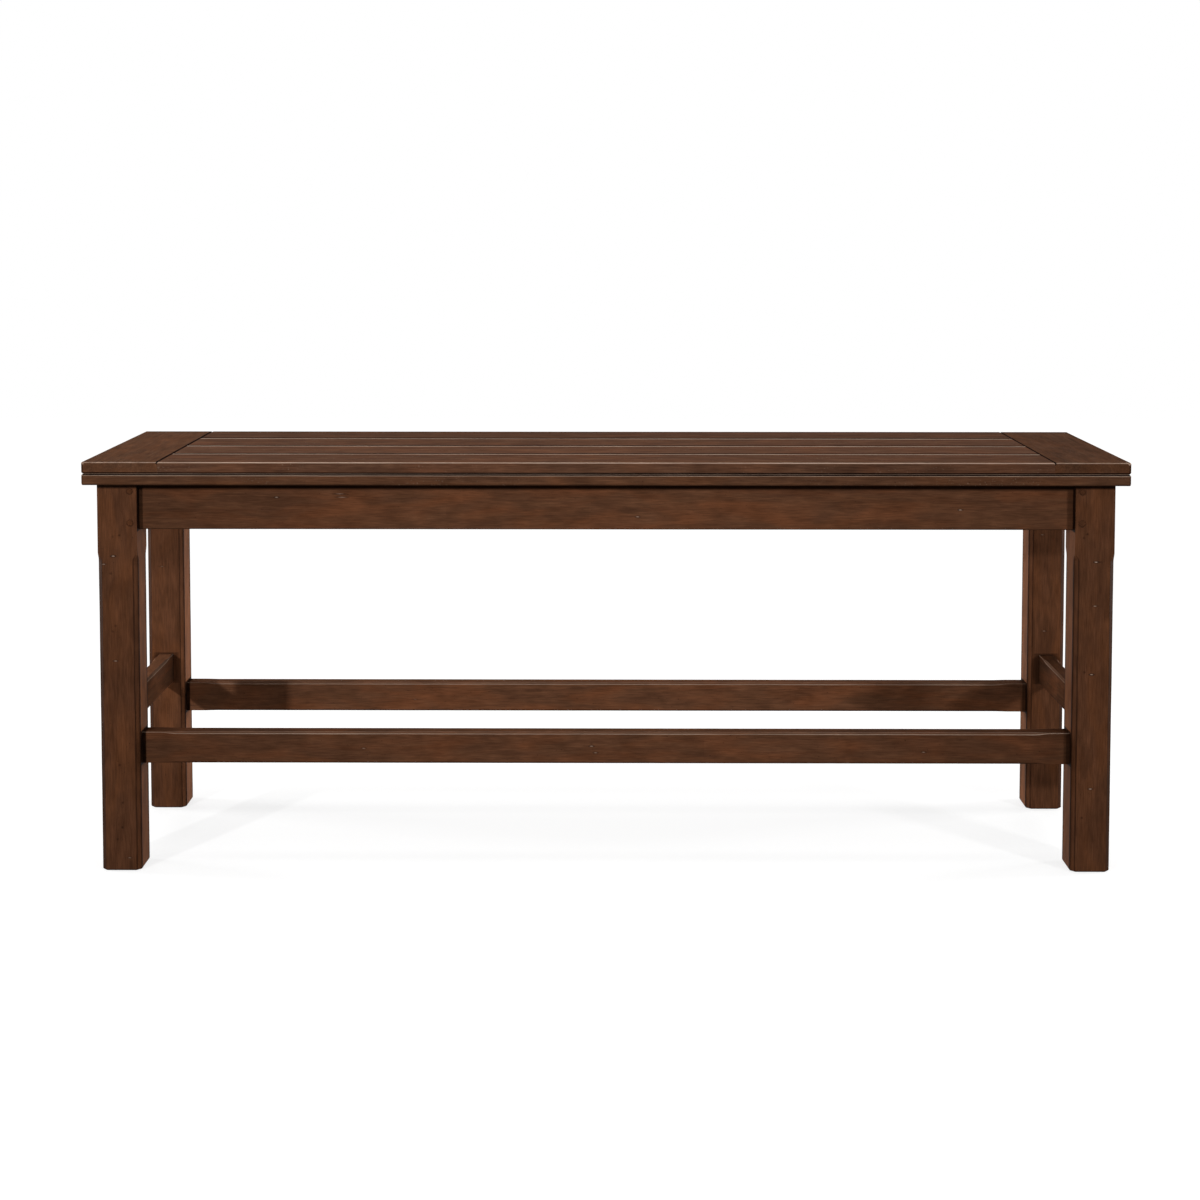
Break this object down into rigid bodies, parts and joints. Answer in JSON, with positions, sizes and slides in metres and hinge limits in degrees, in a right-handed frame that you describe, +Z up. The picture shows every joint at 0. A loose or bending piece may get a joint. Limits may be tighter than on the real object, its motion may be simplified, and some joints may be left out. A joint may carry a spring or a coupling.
{
  "type": "counter height bench",
  "caption": "Long backless wooden bench with a plank seat, boards across the seat's ends, square chamfered legs, aprons and low stretchers, for sitting at a counter.",
  "frame": {"origin": "on the floor, under the centre of the bench", "axes": "+X along the bench to the right as seen from the front, +Y from the front to the rear, +Z up"},
  "size_m": [1.524, 0.394, 0.61],
  "materials": {
    "seat_wood": "dark brown stain under satin varnish",
    "seat_end_wood": "dark brown stain under satin varnish",
    "leg_wood": "dark brown stain under satin varnish",
    "rail_wood": "dark brown stain under satin varnish",
    "peg_wood": "dark brown stain under satin varnish",
    "inner_wood": "dark brown stain, no varnish",
    "screw_steel": "zinc plated"
  },
  "bodies": {
    "root": {"seat_plank_front": "seat_wood", "seat_plank_front_middle": "seat_wood", "seat_plank_rear_middle": "seat_wood", "seat_plank_rear": "seat_wood", "seat_end_left": "seat_end_wood", "seat_end_right": "seat_end_wood", "edge_strip_front": "seat_wood", "edge_strip_rear": "seat_wood", "edge_strip_left": "seat_end_wood", "edge_strip_right": "seat_end_wood", "leg_front_left": "leg_wood", "leg_front_right": "leg_wood", "leg_rear_left": "leg_wood", "leg_rear_right": "leg_wood", "apron_front": "rail_wood", "apron_rear": "rail_wood", "apron_left": "rail_wood", "apron_right": "rail_wood", "stretcher_front": "rail_wood", "stretcher_rear": "rail_wood", "stretcher_left": "rail_wood", "stretcher_right": "rail_wood", "pegs_front": "peg_wood", "pegs_rear": "peg_wood", "corner_block_front_left": "inner_wood", "corner_block_front_right": "inner_wood", "corner_block_rear_left": "inner_wood", "corner_block_rear_right": "inner_wood", "cross_rail_left": "inner_wood", "cross_rail_right": "inner_wood", "seat_screws": "screw_steel"}
  },
  "joints": []
}
